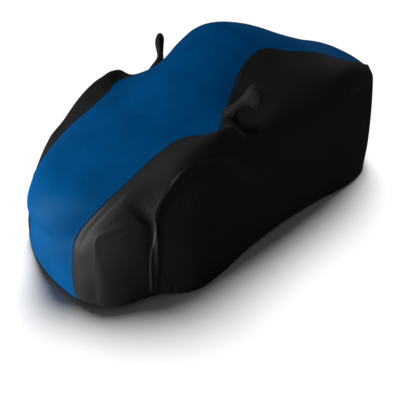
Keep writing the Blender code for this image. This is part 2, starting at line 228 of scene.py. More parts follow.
def arch_depth(points):
    """How far the cloth sinks into the wheel arches."""
    depth = np.zeros(points.shape[:-1])
    for arch in WHEEL_ARCHES:
        height = points[..., 2] - arch["z"]
        along = points[..., 1] - arch["y"] - arch["slant"] * np.minimum(height, 0)
        rearward = np.clip(along / arch["radius"], 0, 1)
        edge = arch["front"] + (arch["rear"] - arch["front"]) * rearward
        reach = np.hypot(along, np.maximum(height, 0))
        fade = np.clip(points[..., 2] / arch["z"], 0, 1)
        depth += arch["depth"] * smooth_step((arch["radius"] - reach) / edge) * fade
    return depth


def grid_normals(grid):
    """Unit outward normals of a grid whose rows run to the rear and columns to the left."""
    normals = np.cross(np.gradient(grid, axis=1), np.gradient(grid, axis=0))
    lengths = np.linalg.norm(normals, axis=2)
    return normals / np.maximum(lengths, 1e-12)[..., None]


print("the arches sink by", [arch["depth"] * 1000 for arch in WHEEL_ARCHES], "mm")

# %% The side panel's surface
# shares down a rib: a guide inside the seam, seam, shoulder, belt, middle of the side, hem, edge
RIB_KEYS = (-0.2, 0.0, 0.20, 0.40, 0.70, 0.97, 1.0)
BELT_ROW, HEM_ROW = 3, 5
# the side bows out under the belt by BELLY, and the hem turns in and up
BELLY, BELLY_AT = 0.022, 0.55
HEM_TUCK, HEM_LIFT, HEM_CREASE = 0.020, 0.004, 0.80
# the bow and the guide fade out where a rib is lower than these heights
FULL_DROP, FULL_GUIDE = 0.5, 0.3
GUIDE_ACROSS = 0.6
ARCH_START = 0.04
HEM_STEP, LAST_SECTION = 0.2, 28


def side_grid(at, down):
    """Left side panel: each section is a rib from the seam over the shoulder to the hem."""
    seam = read_line(SEAM_LINE, at)
    belt = read_line(BELT_LINE, at)
    hem = read_line(HEM_LINE, at)
    ahead = read_line(HEM_LINE, np.minimum(at + HEM_STEP, LAST_SECTION))
    behind = read_line(HEM_LINE, np.maximum(at - HEM_STEP, 0))
    outward = np.cross(ahead - behind, (0, 0, 1))
    outward[:, 2] = 0
    outward /= np.linalg.norm(outward, axis=1)[:, None]
    drop = np.clip((belt - hem)[:, 2:] / FULL_DROP, 0, 1)
    side = belt + (hem - belt) * BELLY_AT + outward * BELLY * drop
    guide = centre_grid(at, np.array([GUIDE_ACROSS]))[:, 0]
    height = np.linalg.norm(seam - hem, axis=1)[:, None]
    guide = seam + (guide - seam) * np.clip(height / FULL_GUIDE, 0, 1)
    edge = hem - outward * HEM_TUCK * drop + np.array((0, 0, HEM_LIFT)) * drop
    ribs = np.stack((guide, seam, read_line(SHOULDER_LINE, at), belt, side, hem, edge))
    crease = np.zeros_like(ribs)
    crease[BELT_ROW] = read_line(BELT_CREASE, at)
    crease[HEM_ROW] = HEM_CREASE
    flat = (len(RIB_KEYS), -1)
    grid = smooth_line(RIB_KEYS, ribs.reshape(flat), down, crease.reshape(flat))
    grid = grid.reshape(len(down), len(at), 3).transpose(1, 0, 2)
    depth = arch_depth(grid) * smooth_step((down - RIB_KEYS[BELT_ROW]) / ARCH_START)
    return grid - grid_normals(grid) * depth[..., None]


print("a rib runs through", len(RIB_KEYS), "places")

# %% [markdown]
# ## How fine the cloth's mesh is
#
# Folds need points every few millimetres, and the tight plain door needs few. So the rows and
# the columns come from short tables that say how many steps lead up to each place: close
# together at the front wheel, the arch's lip and the hem, and wider over door and roof.

# %% Rows and columns of the mesh
# steps up to each section, from front hem to rear hem
ROW_STEPS = ((1, 8), (6, 58), (7, 22), (10, 66), (13, 68), (15, 28), (19, 68), (23, 40), (28, 22))
# steps up to each share of a rib, from seam to hem
SIDE_STEPS = ((0.03, 8), (0.36, 30), (0.385, 5), (0.42, 12), (0.60, 24), (0.86, 18), (1, 22))
# steps up to each share of half the centre panel's width
CENTRE_STEPS = ((0.94, 34), (1, 10))


def stepped(table):
    """Places with the table's number of even steps up to each of its stops."""
    places = [0.0]
    for stop, steps in table:
        places.extend(np.linspace(places[-1], stop, steps + 1)[1:])
    return np.array(places)


rows = stepped(ROW_STEPS)
side_columns = stepped(SIDE_STEPS)
half = stepped(CENTRE_STEPS)
centre_columns = np.concatenate((-half[:0:-1], half))
side_cloth = side_grid(rows, side_columns)
centre_cloth = centre_grid(rows, centre_columns)
print("side", side_cloth.shape[:2], "centre", centre_cloth.shape[:2], "points")

# %% [markdown]
# ## Distances along the cloth
#
# Seams, hem and stitches have sizes in millimetres, whatever the section. So each point gets
# its distance from the seam and from the nearest free edge, measured along the cloth, as a
# tailor's tape would. The same lengths serve as UV coordinates in metres, which keep the
# knit's pattern at one scale.

# %% Tape measures on a grid
def tape(grid, axis, from_end=False):
    """Length along the cloth from the grid's first or last line."""
    steps = np.linalg.norm(np.diff(grid, axis=axis), axis=2)
    length = np.cumsum(steps, axis=axis)
    length = np.concatenate((np.zeros_like(np.take(length, [0], axis=axis)), length), axis=axis)
    if from_end:
        length = np.take(length, [-1], axis=axis) - length
    return length


def nearer_end_mm(grid, axis):
    """Distance from the nearer of the grid's first and last lines, in millimetres."""
    return np.minimum(tape(grid, axis), tape(grid, axis, True)) * 1000


side_seam_mm = tape(side_cloth, 1) * 1000
side_edge_mm = np.minimum(tape(side_cloth, 1, True) * 1000, nearer_end_mm(side_cloth, 0))
centre_seam_mm = nearer_end_mm(centre_cloth, 1)
centre_edge_mm = nearer_end_mm(centre_cloth, 0)
print("widest rib", round(float(side_seam_mm.max())), "mm; centre strip",
      round(float(tape(centre_cloth, 0).max()), 3), "m long")

# %% [markdown]
# ## Folds and creases
#
# The cover is tight, so its folds are few: a thin lip where the cloth leaves the wing and
# crosses the wheel arch, a fan of fine drag lines inside the arch, a pinch where the bumper's
# crease meets the lip, soft ridges over the wing and waist, and small gathers at the hem.
# Each is a row of a table: a height, a half width and a few places that it runs through. The
# cloth is pushed along its normal by a bell curve of the distance to that run. Noise could
# wrinkle the whole cover in one go, but real folds start and end for a reason, at a lip, a
# corner or the elastic, so they are placed one by one.

# %% Folds of the side panel
# height mm, half width mm, then the run as pairs of section and share down
ARCH_LIP = (
    (2.6, 5, ((6.64, 0.97), (6.68, 0.88), (6.72, 0.72), (6.86, 0.58), (7.22, 0.50), (7.50, 0.455))),
    (2.6, 5, ((7.46, 0.465), (7.85, 0.428), (8.40, 0.415), (9.20, 0.402), (10.2, 0.400))),
)
SIDE_FOLDS = (
    # where the arch's lip fades out, and the pinch where the bumper's crease meets it
    (1.6, 8, ((9.60, 0.400), (10.5, 0.402), (11.2, 0.406), (11.9, 0.412))),
    (0.8, 6, ((7.22, 0.468), (7.42, 0.462), (7.60, 0.446))),
    (-0.8, 7, ((7.30, 0.490), (7.44, 0.478), (7.62, 0.470))),
    (1.1, 6, ((7.08, 0.560), (7.20, 0.515), (7.36, 0.500))),
    (-1.1, 7, ((6.96, 0.470), (7.20, 0.450), (7.42, 0.440))),
    # shade under the bumper's crease, and a short pinch that rises from it
    (-3.0, 14, ((4.30, 0.430), (5.20, 0.440), (6.10, 0.436), (6.80, 0.440))),
    (1.0, 7, ((6.62, 0.345), (6.95, 0.315), (7.40, 0.295))),
    (-0.8, 8, ((6.80, 0.350), (7.10, 0.325), (7.50, 0.305))),
    # soft ridge of the wing round the wheel, and the pull down behind it
    (2.0, 34, ((9.30, 0.24), (10.5, 0.225), (11.65, 0.24), (12.3, 0.35), (12.85, 0.45), (13.4, 0.58),
               (13.6, 0.66))),
    (-1.3, 26, ((12.1, 0.46), (12.55, 0.50), (13.0, 0.58), (13.3, 0.66))),
    (0.8, 14, ((12.3, 0.44), (12.75, 0.52), (13.2, 0.60), (13.5, 0.67))),
    # drag lines inside the arch
    (1.0, 8, ((11.86, 0.458), (11.40, 0.500), (10.85, 0.545), (10.55, 0.575))),
    (-0.7, 8, ((11.62, 0.458), (11.15, 0.500), (10.62, 0.548))),
    (1.4, 7, ((11.32, 0.452), (10.95, 0.495), (10.40, 0.550), (10.15, 0.580))),
    (-1.0, 8, ((11.05, 0.455), (10.62, 0.505), (10.20, 0.552))),
    (1.2, 6, ((10.75, 0.448), (10.40, 0.495), (9.98, 0.555), (9.80, 0.590))),
    (-0.8, 7, ((10.50, 0.452), (10.10, 0.505), (9.72, 0.560))),
    (1.3, 6, ((10.24, 0.448), (9.88, 0.500), (9.58, 0.556))),
    (-0.7, 7, ((10.00, 0.455), (9.64, 0.505), (9.40, 0.550))),
    (0.8, 6, ((9.76, 0.455), (9.44, 0.500), (9.22, 0.545))),
    (0.6, 6, ((9.42, 0.470), (9.16, 0.510), (8.98, 0.545))),
    # waist, with the crossing pulls over it, and the haunch behind
    (1.4, 26, ((14.9, 0.34), (16.1, 0.385), (17.2, 0.398), (18.1, 0.398), (19.3, 0.365), (20.4, 0.35))),
    (1.2, 12, ((17.84, 0.300), (18.05, 0.375), (18.30, 0.440), (18.54, 0.490))),
    (1.1, 12, ((18.72, 0.375), (18.20, 0.392), (17.70, 0.412), (17.25, 0.440))),
    (1.2, 22, ((18.6, 0.405), (19.2, 0.375), (19.8, 0.350), (20.4, 0.325))),
    # edge of the rear wheel's arch
    (0.9, 20, ((17.55, 0.50), (17.75, 0.43), (18.60, 0.425), (19.50, 0.455), (20.55, 0.475), (21.60, 0.52))),
    (-0.7, 22, ((17.90, 0.52), (18.7, 0.470), (19.6, 0.490), (20.5, 0.520), (21.3, 0.57))),
    # gathers where the elastic pulls up
    (2.6, 7, ((8.02, 0.850), (8.14, 0.900), (8.20, 0.955))),
    (-2.6, 8, ((8.24, 0.870), (8.36, 0.920), (8.44, 0.965))),
    (2.2, 6, ((8.52, 0.905), (8.62, 0.940), (8.68, 0.975))),
    (1.8, 6, ((7.86, 0.890), (7.88, 0.930), (7.86, 0.970))),
    (3.0, 9, ((14.36, 0.830), (14.38, 0.890), (14.30, 0.960))),
    (-3.0, 9, ((14.52, 0.850), (14.55, 0.900), (14.50, 0.965))),
    (2.4, 8, ((14.68, 0.860), (14.74, 0.910), (14.72, 0.965))),
    (-2.0, 10, ((14.16, 0.870), (14.16, 0.920), (14.08, 0.970))),
    # short pleats under the mirror pocket's root
    (1.0, 6, ((14.30, 0.060), (14.20, 0.085), (14.10, 0.115))),
    (-0.9, 6, ((14.48, 0.065), (14.40, 0.095), (14.34, 0.130))),
    (0.9, 7, ((14.66, 0.070), (14.62, 0.100), (14.60, 0.130))),
    # light line that runs along the wing from the bumper's corner
    (1.2, 16, ((4.75, 0.35), (5.50, 0.29), (6.10, 0.27), (7.15, 0.24), (8.2, 0.22))),
)
print(len(ARCH_LIP + SIDE_FOLDS), "folds on a side panel")

# %% Folds of the centre panel
# height mm, half width mm, then the run as pairs of section and share across
CENTRE_FOLDS = (
    # creases that the cover kept from its bag, on the bonnet
    (1.0, 9, ((8.10, -0.52), (8.46, -0.33), (8.62, -0.10), (8.45, 0.12), (8.20, 0.24))),
    (1.2, 8, ((7.25, 0.02), (7.62, 0.12), (8.30, 0.24), (9.10, 0.36), (9.80, 0.42))),
    (-1.0, 9, ((7.60, -0.20), (7.95, 0.02), (8.35, 0.16), (8.80, 0.22))),
    (1.0, 8, ((6.35, 0.55), (7.05, 0.50), (7.80, 0.40), (8.60, 0.36))),
    (0.9, 9, ((9.50, -0.45), (9.85, -0.10), (10.0, 0.20), (10.3, 0.42))),
    (0.9, 10, ((5.40, 0.42), (5.85, 0.62), (6.50, 0.72), (7.20, 0.72))),
    (-0.9, 10, ((5.00, 0.10), (5.60, 0.30), (6.10, 0.55))),
    # foot of the windscreen
    (-1.0, 26, ((14.6, -0.74), (13.4, -0.40), (12.75, -0.05), (12.9, 0.30), (13.5, 0.62))),
    (1.0, 16, ((13.9, -0.62), (13.2, -0.20), (13.3, 0.20), (13.9, 0.50))),
    # front edge of the roof and the rear lid
    (1.2, 30, ((16.9, -0.85), (17.0, -0.30), (17.0, 0.30), (16.9, 0.85))),
    (-1.2, 30, ((22.3, -0.80), (22.5, 0), (22.3, 0.80))),
)
print(len(CENTRE_FOLDS), "folds on the centre panel")

# %% [markdown]
# A fold's run is read as a smooth curve on the very surface that it lies on, and the distance
# to it is measured to short straight pieces of that curve. The fold fades out towards both of
# its ends, as pulled cloth does.

# %% Lay the folds on the cloth
RUN_STEPS = 28
FADE = 0.30
# a fold is felt up to this many of its half widths away
FOLD_REACH = 2.5


def fold_run(places, cloth, columns):
    """Points of a fold on the cloth, from its few (section, share) places."""
    places = np.array(places)
    stops = np.arange(len(places))
    path = smooth_line(stops, places, np.linspace(0, stops[-1], RUN_STEPS))
    row = np.interp(path[:, 0], rows, np.arange(len(rows)))
    column = np.interp(path[:, 1], columns, np.arange(len(columns)))
    i = np.minimum(row.astype(int), len(rows) - 2)
    j = np.minimum(column.astype(int), len(columns) - 2)
    a, b = (row - i)[:, None], (column - j)[:, None]
    near = cloth[i, j] * (1 - b) + cloth[i, j + 1] * b
    far = cloth[i + 1, j] * (1 - b) + cloth[i + 1, j + 1] * b
    return near * (1 - a) + far * a


def fold_relief(cloth, folds, columns):
    """Heights of all folds at each point of the cloth, in millimetres."""
    points = cloth.reshape(-1, 3)
    relief = np.zeros(len(points))
    for height, width, places in folds:
        run = fold_run(places, cloth, columns)
        reach = (width * FOLD_REACH + 1) / 1000
        near = np.all((points > run.min(0) - reach) & (points < run.max(0) + reach), axis=1)
        here = points[near][:, None]
        starts, legs = run[:-1][None], np.diff(run, axis=0)[None]
        share = ((here - starts) * legs).sum(2) / (legs**2).sum(2)
        share = np.clip(share, 0, 1)
        gaps = np.linalg.norm(here - starts - legs * share[..., None], axis=2)
        nearest = gaps.argmin(1)
        pick = np.arange(len(nearest))
        along = (nearest + share[pick, nearest]) / (RUN_STEPS - 1)
        fade = smooth_step(along / FADE) * smooth_step((1 - along) / FADE)
        gap_mm = gaps[pick, nearest] * 1000
        relief[near] += height * np.exp(-((gap_mm / width) ** 2)) * fade
    return relief.reshape(cloth.shape[:2])


lip_folds = fold_relief(side_cloth, ARCH_LIP, side_columns)
side_folds = lip_folds + fold_relief(side_cloth, SIDE_FOLDS, side_columns)
centre_folds = fold_relief(centre_cloth, CENTRE_FOLDS, centre_columns)
print("folds: side", side_folds.min().round(1), "to", side_folds.max().round(1),
      "mm, centre", centre_folds.min().round(1), "to", centre_folds.max().round(1), "mm")

# %% [markdown]
# ## Seams and the elastic hem
#
# The panels are joined by an overlocked seam. Its allowance lies flat under the cloth and
# lifts it into a low welt on both sides, and the thread pulls a small valley between them.
# The hem is a channel: the cloth is turned up 25 mm and stitched, with elastic inside, which
# gathers it into small uneven waves. Both are made from the tape measures above.

# %% Seam valley, hem channel and gathers
VALLEY_DEEP_MM, VALLEY_HALF_MM = 2.0, 3.5
WELT_HIGH_MM, WELT_AT_MM, WELT_HALF_MM = 0.9, 11, 6
CHANNEL_MM = 25
CHANNEL_HIGH_MM, CHANNEL_STEP_MM = 1.2, 4
STITCH_DEEP_MM, STITCH_HALF_MM = 1.3, 2.5
# gathers: two close wavelengths and the swell over them in metres, then the bands that they
# fill: height, distance from the edge and half width in millimetres
GATHER_LONG, GATHER_SHORT, SWELL = 0.061, 0.043, 0.57
GATHER_BANDS = ((0.9, CHANNEL_MM, 14), (0.35, 45, 30))


def bell(length, centre, half_width):
    """A bell curve of 1 at the centre."""
    return np.exp(-(((length - centre) / half_width) ** 2))


def seam_relief(seam_mm):
    """Valley at the seam and the welt beside it."""
    return (WELT_HIGH_MM * bell(seam_mm, WELT_AT_MM, WELT_HALF_MM)
            - VALLEY_DEEP_MM * bell(seam_mm, 0, VALLEY_HALF_MM))


def gather_wave(along, phase):
    """Uneven waves along the hem: two close wavelengths that drift in and out of step."""
    turns = along * 2 * np.pi
    wave = np.sin(turns / GATHER_SHORT + phase) + 0.8 * np.sin(turns / GATHER_LONG + 1.7 * phase)
    swell = 0.55 + 0.45 * np.sin(turns / SWELL + 2.3 * phase)
    return wave * swell


def hem_relief(edge_mm, along, phase):
    """The turned-up channel, its stitch line and the gathers above and in it."""
    channel = CHANNEL_HIGH_MM * smooth_step((CHANNEL_MM - edge_mm) / CHANNEL_STEP_MM + 0.5)
    stitch = STITCH_DEEP_MM * bell(edge_mm, CHANNEL_MM, STITCH_HALF_MM)
    bands = sum(high * bell(edge_mm, at, spread) for high, at, spread in GATHER_BANDS)
    return channel - stitch + gather_wave(along, phase) * bands


hem_run = np.broadcast_to(tape(side_cloth, 0)[:, -1:], side_edge_mm.shape)
centre_run = np.broadcast_to(tape(centre_cloth, 1)[:1], centre_edge_mm.shape)
print("hem of one side", round(float(hem_run.max()), 2), "m long")

# %% [markdown]
# The cloth also has a slow unevenness of a millimetre or so, where it bridges hollows of the
# bodywork. A few long sine waves give it, with different phases left and right, so the two
# sides don't mirror each other. They calm down towards the hem and the seams.

# %% Push the cloth along its normals
# height mm, waves along x, y and z in radians a metre, and how far a phase turns them
SLOW_WAVES = ((0.7, (0, 6.1, 4.3), 1), (0.5, (5.0, 11.7, -8.1), 2), (0.4, (9.0, 3.9, 15.3), -1))
CALM_EDGE_MM, CALM_SEAM_MM = 60, 40
CENTRE_PHASE, FRONT_HEM_PHASE = 0.4, 1.1
SIDE_PHASES = {"left": 0.9, "right": 3.3}


def slow_waves(points, phase, edge_mm, seam_mm):
    """Long shallow waves over the cover, in millimetres."""
    calm = smooth_step(edge_mm / CALM_EDGE_MM) * smooth_step(seam_mm / CALM_SEAM_MM)
    return calm * sum(high * np.sin(points @ way + turn * phase) for high, way, turn in SLOW_WAVES)


def shaped(cloth, relief_mm):
    """The cloth moved along its normals by a relief in millimetres."""
    return cloth + grid_normals(cloth) * relief_mm[..., None] / 1000


def side_shape(phase):
    """One side panel with all its relief, still on the car's left."""
    relief = side_folds + seam_relief(side_seam_mm)
    relief += slow_waves(side_cloth, phase, side_edge_mm, side_seam_mm)
    return shaped(side_cloth, relief + hem_relief(side_edge_mm, hem_run, phase))


centre_relief = centre_folds + seam_relief(centre_seam_mm)
centre_relief += slow_waves(centre_cloth, CENTRE_PHASE, centre_edge_mm, centre_seam_mm)
centre_relief += hem_relief(centre_edge_mm, centre_run, FRONT_HEM_PHASE)
centre_shape = shaped(centre_cloth, centre_relief)
side_shapes = {word: side_shape(phase) for word, phase in SIDE_PHASES.items()}
unlike = np.abs(side_shapes["left"] - side_shapes["right"]).max()
print("left and right differ by up to", round(float(unlike * 1000), 1), "mm")

# %% [markdown]
# ## Mirror pockets
#
# Each door mirror sticks up into a pocket like an ear: a narrow neck round the mirror's arm
# and an oval bag over its housing. The bag is a loft through oval sections. It could be cut
# from the panel with a Boolean, but cloth that is sewn on doesn't end in a hard cut: it
# spreads over the panel. So every lengthwise line of the loft is followed down to the panel,
# ended there and flared outwards, and the neck gets radial pleats. The left pocket's lowest
# two sections lie up to 22 mm further out and back than in its solid, where the photograph
# shows its root.

# %% The pockets' oval sections
# each as if on the left: centre x, y, z, half of its thin way, half of its tall way
POCKETS = {
    "left": (
        (0.499, -0.438, 1.018, 0.042, 0.046), (0.510, -0.422, 1.044, 0.036, 0.040),
        (0.523, -0.412, 1.070, 0.029, 0.031), (0.542, -0.392, 1.094, 0.025, 0.028),
        (0.560, -0.370, 1.117, 0.026, 0.037), (0.578, -0.350, 1.138, 0.030, 0.058),
        (0.597, -0.330, 1.148, 0.034, 0.080), (0.616, -0.309, 1.144, 0.034, 0.080),
        (0.630, -0.296, 1.138, 0.027, 0.062), (0.640, -0.283, 1.130, 0.013, 0.046),
    ),
    "right": (
        (0.485, -0.330, 1.005, 0.052, 0.064), (0.500, -0.290, 1.036, 0.044, 0.054),
        (0.515, -0.252, 1.068, 0.033, 0.042), (0.532, -0.226, 1.098, 0.026, 0.036),
        (0.553, -0.210, 1.126, 0.027, 0.044), (0.577, -0.194, 1.155, 0.032, 0.060),
        (0.598, -0.178, 1.187, 0.036, 0.070), (0.611, -0.160, 1.214, 0.034, 0.070),
        (0.619, -0.146, 1.232, 0.026, 0.058), (0.623, -0.138, 1.240, 0.011, 0.032),
    ),
}
THIN_WAY = np.array((-0.664, 0.748, 0))
LAST_OVAL = len(POCKETS["left"]) - 1
# from this oval on the bag turns less than its centres do, so that its sections don't cross
LOBE_OVAL, LOBE_STRAIGHT = 4, 0.65
POCKET_SIDES = 64
POCKET_RINGS = 46
angles = np.arange(POCKET_SIDES) * 2 * np.pi / POCKET_SIDES


def pocket_frame(ovals, place):
    """Centre, thin way, tall way and half sizes of a pocket at places along it."""
    ovals = np.array(ovals)
    stops = np.arange(len(ovals))
    values = smooth_line(stops, ovals, place)
    way = np.gradient(ovals[:, :3], axis=0)
    way /= np.linalg.norm(way, axis=1)[:, None]
    lobe = ovals[-1, :3] - ovals[LOBE_OVAL, :3]
    way[LOBE_OVAL:] *= 1 - LOBE_STRAIGHT
    way[LOBE_OVAL:] += lobe / np.linalg.norm(lobe) * LOBE_STRAIGHT
    axis = smooth_line(stops, way, place)
    axis /= np.linalg.norm(axis, axis=1)[:, None]
    thin = THIN_WAY - axis * (axis @ THIN_WAY)[:, None]
    thin /= np.linalg.norm(thin, axis=1)[:, None]
    return values[:, :3], thin, np.cross(axis, thin), values[:, 3:4], values[:, 4:5]


def pocket_points(ovals, place, angle):
    """Points of a pocket's surface."""
    centre, thin, tall, half_thin, half_tall = pocket_frame(ovals, place)
    return (centre + thin * half_thin * np.cos(angle)[:, None]
            + tall * half_tall * np.sin(angle)[:, None])


for word, ovals in POCKETS.items():
    tip = pocket_points(ovals, np.full(POCKET_SIDES, LAST_OVAL), angles)
    print(word, "pocket's tip", tip.mean(0).round(3))

# %% [markdown]
# A BVH tree answers where the nearest point of a mesh is. Here it holds the centre and the
# side panel round the root, so that each line of the pocket finds the cloth that it is
# sewn to.

# %% Follow each line down to the cloth
def cloth_tree(*shapes):
    """A search tree of one or more grids."""
    points, cells = [], []
    for shape in shapes:
        count, width = shape.shape[:2]
        first = np.arange(count * width).reshape(count, width)[:-1, :-1].reshape(-1)
        first = first + sum(len(part) for part in points)
        cells.append(np.column_stack((first, first + 1, first + width + 1, first + width)))
        points.append(shape.reshape(-1, 3))
    return BVHTree.FromPolygons(np.concatenate(points).tolist(), np.concatenate(cells).tolist())


def on_cloth(tree, point):
    """Nearest point of the cloth, its outward normal, and the signed height above it."""
    found, normal, _, _ = tree.find_nearest(point.tolist())
    found, normal = np.array(found), np.array(normal)
    return found, normal, (point - found) @ normal


# the patches of cloth that the roots lie on
ROOT_ROWS = (rows > 11) & (rows < 18)
SIDE_PATCH, CENTRE_PATCH = side_columns < 0.45, centre_columns > 0.3
DOWN_STEPS = 91
ROOT_HEIGHT = 0.0008
# above 1, the rings lie closer together near the root
RING_CROWDING = 1.35


def pocket_grid(side_shape_here, ovals):
    """Rings of a pocket from the cloth up to the tip, on the car's left."""
    patch = side_shape_here[ROOT_ROWS][:, SIDE_PATCH]
    tree = cloth_tree(centre_shape[ROOT_ROWS][:, CENTRE_PATCH], patch)
    down_way = np.linspace(LAST_OVAL, 0, DOWN_STEPS)
    roots = []
    for angle in angles:
        line = pocket_points(ovals, down_way, np.full(len(down_way), angle))
        heights = np.array([on_cloth(tree, point)[2] for point in line])
        below = int(np.argmax(heights < ROOT_HEIGHT))
        above = below - 1
        share = (heights[above] - ROOT_HEIGHT) / (heights[above] - heights[below])
        roots.append(down_way[above] + (down_way[below] - down_way[above]) * share)
    roots = np.array(roots)
    print("pocket sewn on from oval", roots.min().round(2), "to", roots.max().round(2))
    climb = np.linspace(0, 1, POCKET_RINGS) ** RING_CROWDING
    rings = [pocket_points(ovals, roots + (LAST_OVAL - roots) * share, angles) for share in climb]
    return np.array(rings), tree


pocket_grids = {word: pocket_grid(side_shapes[word], ovals) for word, ovals in POCKETS.items()}

# %% Flare, pleats and a rounded tip
FLARE_MM, FLARE_HIGH_MM = 7, 16
# pleats at the root and drag lines above them: height, distance from the root and half width
# in millimetres, then waves round the pocket: count, share and how far a phase turns them
POCKET_FOLDS = (
    (1.5, 14, 22, ((7, 1, 1), (11, 0.7, 2))),
    (0.8, 70, 60, ((5, 1, 1.3), (9, 0.5, -1))),
)
# the lowest rings keep clear of the cloth, each by a little more than the one below it
CLEAR_RINGS = 6
ROOT_CLEAR, RING_CLEAR, CLEAR_STEP = 0.0009, 0.0010, 0.0006
TIP_RINGS = 5
TIP_BULGE, TIP_POINT = 0.006, 0.02


def finished_pocket(rings, tree, phase):
    """The pocket with its root spread on the cloth, its pleats and a closed tip."""
    middle = rings.mean(1, keepdims=True)
    outward = rings - middle
    outward /= np.linalg.norm(outward, axis=2)[..., None]
    height = np.cumsum(np.linalg.norm(np.diff(rings, axis=0, prepend=rings[:1]), axis=2), axis=0) * 1000
    relief = FLARE_MM * np.clip(1 - height / FLARE_HIGH_MM, 0, 1) ** 2
    for high, at, spread, waves in POCKET_FOLDS:
        wave = sum(share * np.sin(angles * count + turn * phase) for count, share, turn in waves)
        relief += high * wave * bell(height, at, spread)
    rings = rings + outward * relief[..., None] / 1000
    for step in range(POCKET_SIDES):
        for ring in range(CLEAR_RINGS):
            found, normal, up = on_cloth(tree, rings[ring, step])
            least = RING_CLEAR + CLEAR_STEP * ring if ring else ROOT_CLEAR
            if ring == 0 or up < least:
                rings[ring, step] = found + normal * least
    last = rings[-1]
    centre = last.mean(0)
    way = centre - rings[-2].mean(0)
    way /= np.linalg.norm(way)
    caps = []
    for turn in np.linspace(0, np.pi / 2, TIP_RINGS + 1)[1:]:
        cap = (last - centre) * max(np.cos(turn), TIP_POINT)
        caps.append(centre + cap + way * TIP_BULGE * np.sin(turn))
    return np.concatenate((rings, np.array(caps)))


pocket_shapes = {word: finished_pocket(*pocket_grids[word], phase) for word, phase in SIDE_PHASES.items()}
print("pocket rings:", pocket_shapes["left"].shape[0])

# %% [markdown]
# ## Making the meshes
#
# A grid becomes a mesh of quads with a UV map in metres. The right side is the left one
# mirrored, with its faces turned round so that they still point outwards. The cloth is then
# thickened by Solidify to 1.2 mm, half on each side of the surface, so it lies in the middle
# of the 3 mm solid that stands for it. A pocket's cloth is 1 mm and lies inside its surface.

# %% Grid to mesh
CLOTH_MM, POCKET_CLOTH_MM = 1.2, 1.0
SHORTEST_EDGE = 2e-5


def cloth_mesh(name, shape, uv, pull_and_painted_light, side=1, closed=False, skip=None):
    """An open sheet through a grid, with UVs in metres and a float attribute of stretch and painted light.
    """
    count, width = shape.shape[:2]
    index = np.arange(count * width).reshape(count, width)
    if closed:
        index = np.concatenate((index, index[:, :1]), axis=1)
    quads = np.stack((index[:-1, :-1], index[:-1, 1:], index[1:, 1:], index[1:, :-1]), axis=-1)
    quads = quads.reshape(-1, 4)
    if skip is not None:
        quads = quads[~skip[quads].all(1)]
    if side < 0:
        quads = quads[:, ::-1]
    points = shape.reshape(-1, 3) * np.array((side, 1, 1))
    mesh = bpy.data.meshes.new(name)
    mesh.from_pydata(points.tolist(), [], quads.tolist())
    layer = mesh.uv_layers.new(name="cloth_metres")
    corner = np.empty(len(mesh.loops), np.int32)
    mesh.loops.foreach_get("vertex_index", corner)
    layer.data.foreach_set("uv", uv.reshape(-1, 2)[corner].astype(np.float32).ravel())
    stretch_and_light_layer = mesh.attributes.new("pull_and_painted_light", "FLOAT", "POINT")
    stretch_and_light_layer.data.foreach_set("value", pull_and_painted_light.reshape(-1).astype(np.float32))
    clean = bmesh.new()
    clean.from_mesh(mesh)
    bmesh.ops.dissolve_degenerate(clean, dist=SHORTEST_EDGE, edges=clean.edges[:])
    loose = [vert for vert in clean.verts if not vert.link_faces]
    bmesh.ops.delete(clean, geom=loose, context="VERTS")
    clean.to_mesh(mesh)
    clean.free()
    mesh.shade_smooth()
    return mesh


def cloth_piece(name, mesh, thickness_mm=CLOTH_MM, offset=0):
    """An object of the mesh, thickened as cloth."""
    piece = bpy.data.objects.new(name, mesh)
    bpy.context.scene.collection.objects.link(piece)
    wall = piece.modifiers.new("cloth", "SOLIDIFY")
    wall.thickness = thickness_mm / 1000
    wall.offset = offset
    return piece


print("cloth", CLOTH_MM, "mm thick, pockets", POCKET_CLOTH_MM, "mm")

# %% [markdown]
# Where cloth is drawn hard over an edge, the knit opens and looks lighter. A float attribute
# keeps how much, from 0 to 1: in full on the thin lip of the front arch, where the paler colour
# is partly this opening and partly a painted highlight along the lip, and a little over the side
# window, where it is painted light that makes the upper door brighter. The materials read it later.

# %% How far the side is drawn, and where light is painted on it
LIP_MM = ARCH_LIP[0][0]
# painted light over the side window, which brightens its black
# place and half width, in sections and in shares down the side
WINDOW_PAINTED_LIGHT, WINDOW_ROWS, WINDOW_DOWN = 0.15, (19.5, 4.0), (0.16, 0.13)
window_painted_light = WINDOW_PAINTED_LIGHT * bell(rows, *WINDOW_ROWS)[:, None] * bell(side_columns, *WINDOW_DOWN)
# paler on the arch's lip, partly a painted highlight, plus painted light over the window
side_pull_and_painted_light = np.clip(lip_folds / LIP_MM, 0, 1) + window_painted_light
print("pull up to", side_pull_and_painted_light.max().round(2), "on the lip and", window_painted_light.max().round(2), "on the window")

# %% [markdown]
# A panel has a hole where a pocket opens into it, a little smaller than the pocket's neck, so
# its edge stays inside the neck and the pleats lie on whole cloth.

# %% Build the five pieces of cloth
HOLE_SHRINK = 0.6
# the neck runs over the first ovals; points far from its middle aren't tested
NECK_OVALS, NECK_STEPS = 5, 61
NECK_MIDDLE, NECK_REACH = 25, 0.15
# UV metres round a pocket for each radian
POCKET_RADIUS = 0.05
SIDES = {"left": 1, "right": -1}


def grid_uv(cloth):
    """UV in metres: along the cover and across it."""
    along = tape(cloth, 0)[:, cloth.shape[1] // 3][:, None]
    across = tape(cloth, 1)
    return np.stack((np.broadcast_to(along, across.shape), across), axis=-1)


